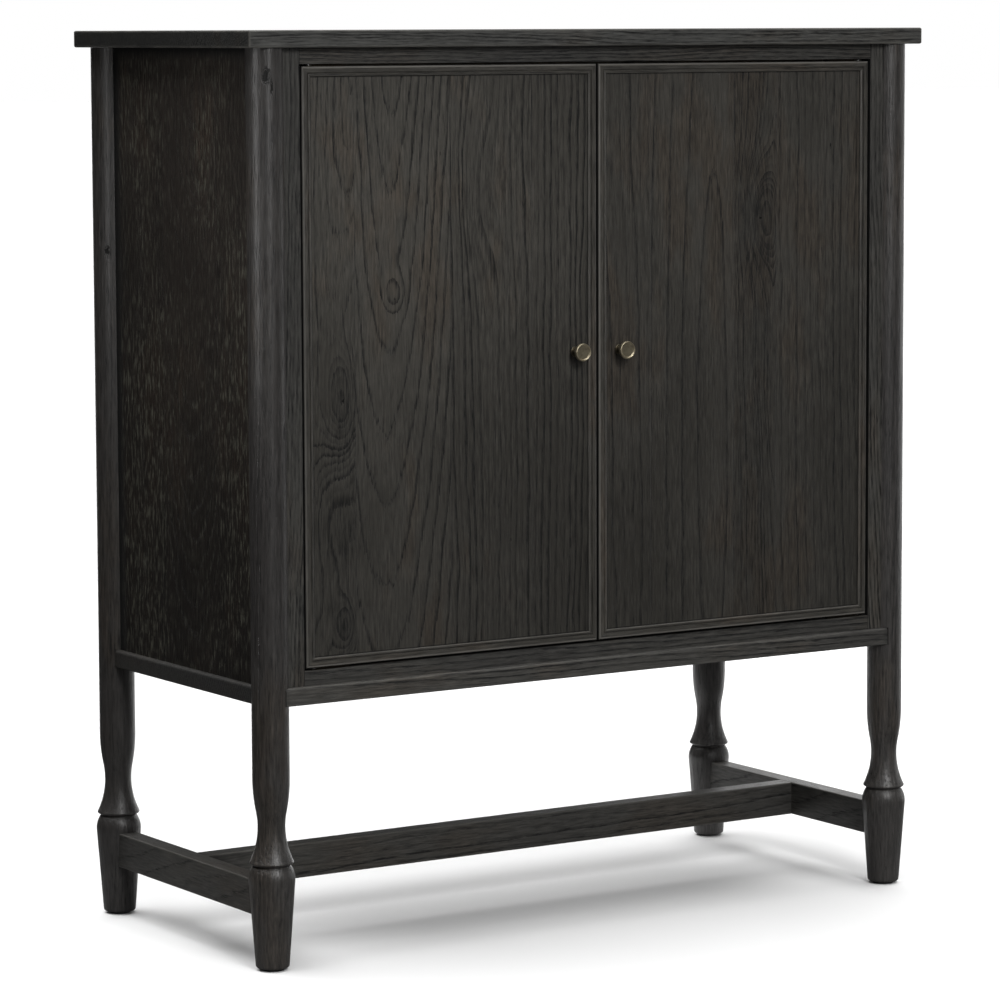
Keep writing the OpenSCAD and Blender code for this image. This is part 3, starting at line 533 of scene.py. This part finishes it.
# Painted shade on the bottom board near both ends, whose sides get little light.
board_end_shade = [(0, end, 0.020, 0.034, 0.55) for end in (-1, 1)]
long_boards = (
    # node, seed, worn and highlit edges, lift, ends, painted shade
    ("bottom_board", 6.2, 0.5, 1.3, 0.7, board_end_shade),
    ("rail_top", 7.7, 0.0, 1.08, 1.0, rail_end_shade),
    ("rail_bottom", 9.4, 0.0, 1.08, 1.0, rail_end_shade),
    ("stretcher_long", 12.6, 0.5, 1.08, 1.0, ()),
)
for n, seed, wear_and_highlight, lift, ends, painted_shade in long_boards:
    paint(n, oak("oak_" + n, "x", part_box(n), "frame",
                 [dict(to=None, xc=0.2, v0=0.25, k=0.015, ring=0.0050, warp=0.04, wave=0.004)],
                 seed=seed, wear_and_highlight=wear_and_highlight, lift=lift, specular=0.42, ends=ends, painted_shade=painted_shade))
# The right stile is painted lighter than the left (lift): painted light that evens out the lamps'
# fall-off toward the right. Each stile also gets painted shade on its face toward the door gap.
for n, seed, lift, door_end in (("stile_left", 15.2, 1.12, 1), ("stile_right", 17.9, 1.34, -1)):
    paint(n, oak("oak_" + n, "z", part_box(n), "frame",
                 [dict(to=None, xc=0.1, v0=0.4, k=0.04, zc=0.5, ring=0.0050, warp=0.06, wave=0.005)],
                 seed=seed, wear_and_highlight=0.0, lift=lift, painted_shade=((0, door_end, 0.0, BEAD_GAP, 1.0),)))
for n, seed in (("stretcher_left", 19.3), ("stretcher_right", 23.8)):
    paint(n, oak("oak_" + n, "y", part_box(n), "frame",
                 [dict(to=None, xc=0.0, v0=0.62, k=0.05, zc=0.0, ring=0.0050, warp=0.04, wave=0.004)],
                 seed=seed, wear_and_highlight=0.5, fleck=0.22))

POST_COVER = 0.004      # the painted shade beside a post starts this far inside the post's edge
for n, seed in (("side_panel_left", 27.1), ("side_panel_right", 31.4)):
    lo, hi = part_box(n)
    tuck_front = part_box(n.replace("side_panel", "post_front"))[1].y - lo.y - POST_COVER
    tuck_back = hi.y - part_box(n.replace("side_panel", "post_back"))[0].y - POST_COVER
    leaves = [
        dict(to=lo.y + 0.11, xc=lo.y + 0.20, zc=1.55, k=0.10, ring=0.0060, warp=0.05, wave=0.009,
             tint=0.0),
        dict(to=lo.y + 0.26, xc=lo.y + 0.18, zc=1.60, k=0.14, ring=0.0062, warp=0.05, wave=0.010,
             tint=0.08, knots=((lo.y + 0.15, 1.05, 0.03, 0.05, -0.03),)),
        dict(to=None, xc=lo.y - 0.1, zc=0.6, k=0.04, v0=0.05, ring=0.0055, warp=0.04, wave=0.007,
             tint=-0.05),
    ]
    # Painted shade on the side panel, beside the front and back posts and under the top.
    post_and_top_shade = ((1, -1, tuck_front, tuck_front + 0.016, 0.6), (1, 1, tuck_back, tuck_back + 0.026, 0.97),
               (2, 1, 0.001, 0.022, 0.97))
    # The side panel darkens toward the bottom (fade): painted shade, as its light comes from above.
    paint(n, oak("oak_" + n, "zy", (lo, hi), "side", leaves, seed=seed, wear_and_highlight=0.0, fleck=0.50, lift=1.30,
                 far_face="right" in n, fade=(2, lo.z, hi.z + 0.1, 0.36), line=0.35, painted_shade=post_and_top_shade,
                 seams=[leaf["to"] for leaf in leaves[:-1]]))
for n, grain, seed in (("stop_strip", "x", 33.0), ("cleat_left", "y", 34.0), ("cleat_right", "y", 35.0),
                       ("back_rail_top", "x", 36.0), ("back_rail_bottom", "x", 37.0),
                       ("shelf_lower", "x", 38.0), ("shelf_upper", "x", 39.0), ("back_panel", "z", 40.0)):
    paint(n, oak("oak_" + n, grain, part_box(n), "inside",
                 [dict(to=None, xc=0.3, v0=0.3, k=0.03, ring=0.0060, warp=0.06, wave=0.006)],
                 seed=seed, wear_and_highlight=0.4))

# ---------------------------------------------------------------- hardware
knob_mat = metal("aged_brass", rgb(178, 168, 144), rgb(128, 119, 102), 0.42, tarnish=0.75,
                 front=cad_lo.y)
# The hinge metal is near black: painted shade, so the leaves stay dark inside the door gaps.
hinge_mat = metal("hinge_bronze", rgb(46, 40, 33), rgb(26, 23, 20), 0.46, seed=4.0)
steel_mat = metal("steel", rgb(165, 165, 168), rgb(110, 110, 112), 0.34, seed=9.0)
hinge_dark_ends = ("hinge_leaves", "hinge_case_leaves", "hinge_screws", "hinge_case_screws")
steel_ends = ("shelf_pins", "catch_magnets", "hinge_pins", "top_screws", "back_screws", "_washers",
              "_knob_screw", "_strike")
for n in nodes:
    if n.endswith("_knob"):
        paint(n, knob_mat)
    elif n.endswith(hinge_dark_ends):
        paint(n, hinge_mat)
    elif n.endswith(steel_ends):
        paint(n, steel_mat)
paint("foot_glides", plastic("glide_black", rgb(24, 24, 24), rgb(60, 58, 55), 0.6))

# ---------------------------------------------------------------- stage
# The floor and the world look evenly pale to the camera. To the cabinet they are dark, as if
# masked with black flags, except for a bright part behind and to the right.
OPEN_X, OPEN_Y = 0.841, -0.541      # level direction of the bright part
OPEN_POWER = 0.6


def open_part(along, back):
    """1 toward the bright part, 0 elsewhere. along is measured that way and back along +Y."""
    return step(along, 0.12, 0.45) * step(back, -0.35, 0.1)


half = 60.0
floor_mesh = bpy.data.meshes.new("floor")
floor_mesh.from_pydata([(-half, -half, 0), (half, -half, 0), (half, half, 0), (-half, half, 0)],
                       [], [(0, 1, 2, 3)])
ground = bpy.data.objects.new("floor", floor_mesh)
scene.collection.objects.link(ground)
pale = bpy.data.materials.new("pale_floor")
pale.use_nodes = True
S.tree = pale.node_tree
S.tree.nodes.clear()
pale_out = new("ShaderNodeOutputMaterial")
bright = new("ShaderNodeBsdfDiffuse")
bright.inputs[0].default_value = (0.90, 0.90, 0.90, 1.0)
masked = new("ShaderNodeBsdfDiffuse")
ground_x, ground_y, _ = coords()
far = sqrt(ground_x * ground_x + ground_y * ground_y)
turned = (ground_x * OPEN_X + ground_y * OPEN_Y) / far
near_light, far_light = 0.22, 0.03
under_light = 0.85      # the lit floor under the right and back of the cabinet
bounce = (step(far, 0.7, 1.2, near_light, far_light)
          + step(far, 1.0, 1.6) * open_part(turned, ground_y / far) * OPEN_POWER)
bounce = most(bounce, step(ground_x, -0.50, -0.20) * step(ground_y, -0.10, 0.15) * under_light)
put(masked.inputs[0], vec(bounce, bounce, bounce))
choose = new("ShaderNodeMixShader")
path = new("ShaderNodeLightPath")
S.tree.links.new(path.outputs["Is Camera Ray"], choose.inputs[0])
S.tree.links.new(masked.outputs[0], choose.inputs[1])
S.tree.links.new(bright.outputs[0], choose.inputs[2])
S.tree.links.new(choose.outputs[0], pale_out.inputs[0])
floor_mesh.materials.append(pale)

world = bpy.data.worlds.new("studio")
scene.world = world
world.use_nodes = True
S.tree = world.node_tree
S.tree.nodes.clear()
sky_out = new("ShaderNodeOutputWorld")
seen = new("ShaderNodeBackground")
seen.inputs[0].default_value = (1, 1, 1, 1)
seen.inputs[1].default_value = 1.0
direction = new("ShaderNodeTexCoord")
axes = new("ShaderNodeSeparateXYZ")
S.tree.links.new(direction.outputs["Generated"], axes.inputs[0])
sky_x, sky_y = S(axes.outputs[0]), S(axes.outputs[1])
fill = new("ShaderNodeBackground")
fill.inputs[0].default_value = (1, 1, 1, 1)
left_light, right_light = 0.015, 0.06
put(fill.inputs[1], step(sky_x - sky_y, -0.9, 0.4, left_light, right_light)
    + open_part(sky_x * OPEN_X + sky_y * OPEN_Y, sky_y) * OPEN_POWER)
pick = new("ShaderNodeMixShader")
ray = new("ShaderNodeLightPath")
S.tree.links.new(ray.outputs["Is Camera Ray"], pick.inputs[0])
S.tree.links.new(fill.outputs[0], pick.inputs[1])
S.tree.links.new(seen.outputs[0], pick.inputs[2])
S.tree.links.new(pick.outputs[0], sky_out.inputs[0])

# ---------------------------------------------------------------- lights
front = cad_lo.y


def area(name, azimuth, elevation, distance, width, height, power, aim):
    """A soft box. Azimuth 0 is in front and positive is towards +X; lengths in metres."""
    lamp = bpy.data.lights.new(name, "AREA")
    lamp.shape = "RECTANGLE"
    lamp.size, lamp.size_y, lamp.energy = width, height, power
    o = bpy.data.objects.new(name, lamp)
    scene.collection.objects.link(o)
    a, e = math.radians(azimuth), math.radians(elevation)
    d = Vector((math.sin(a) * math.cos(e), -math.cos(a) * math.cos(e), math.sin(e)))
    o.location = Vector(aim) + d * distance
    o.rotation_mode = "QUATERNION"
    o.rotation_quaternion = (-d).to_track_quat("-Z", "Y")
    o.visible_camera = False


side_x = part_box("side_panel_left")[0].x
area("key_front", -10, 30, 5.0, 1.6, 1.4, 134, aim=(0.0, front, 0.9))
area("strip_front", -10, 8, 5.0, 0.40, 1.3, 33, aim=(0.0, front, 1.05))
area("rim_right", 128, 8, 4.0, 1.8, 2.2, 24, aim=(cad_lo + cad_hi) / 2)
area("glow_right", 80, 2, 2.5, 0.8, 0.9, 3.2, aim=(0.0, front, 0.42))
area("strip_left", -90, 0, 0.5, 0.16, 0.56, 1.15, aim=(side_x, -0.26, 1.03))
sun = bpy.data.lights.new("overhead", "SUN")
sun.energy, sun.angle = 3.9, math.radians(78)
sun_o = bpy.data.objects.new("overhead", sun)
scene.collection.objects.link(sun_o)
sun_o.rotation_euler = (math.radians(-13), math.radians(-4), 0)

# ---------------------------------------------------------------- camera
CAMERA_FROM_POST = Vector((-2.6846, -4.7351, 1.2411))   # from the foot of the front left post
AZIMUTH, ELEVATION, ROLL = -32.754, 5.774, -0.221       # degrees
FOCAL_LENGTH, SENSOR_WIDTH = 150.10, 36.0               # millimetres
SHIFT_Y = -0.05

lo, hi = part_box("post_front_left")
foot = Vector(((lo.x + hi.x) / 2, (lo.y + hi.y) / 2, 0.0))
cam_data = bpy.data.cameras.new("camera")
cam = bpy.data.objects.new("camera", cam_data)
scene.collection.objects.link(cam)
cam_data.sensor_width = SENSOR_WIDTH
cam_data.lens = FOCAL_LENGTH
cam_data.shift_y = SHIFT_Y
cam_data.clip_end = 200.0
az, el, roll = math.radians(AZIMUTH), math.radians(ELEVATION), math.radians(ROLL)
forward = Vector((-math.sin(az) * math.cos(el), math.cos(az) * math.cos(el), -math.sin(el)))
right = Vector((math.cos(az), math.sin(az), 0.0))
up = right.cross(forward)
right, up = (right * math.cos(roll) + up * math.sin(roll),
             up * math.cos(roll) - right * math.sin(roll))
place = foot + CAMERA_FROM_POST
cam.matrix_world = Matrix((
    (right.x, up.x, -forward.x, place.x), (right.y, up.y, -forward.y, place.y),
    (right.z, up.z, -forward.z, place.z), (0, 0, 0, 1)))
scene.camera = cam
scene.view_settings.view_transform = "Standard"
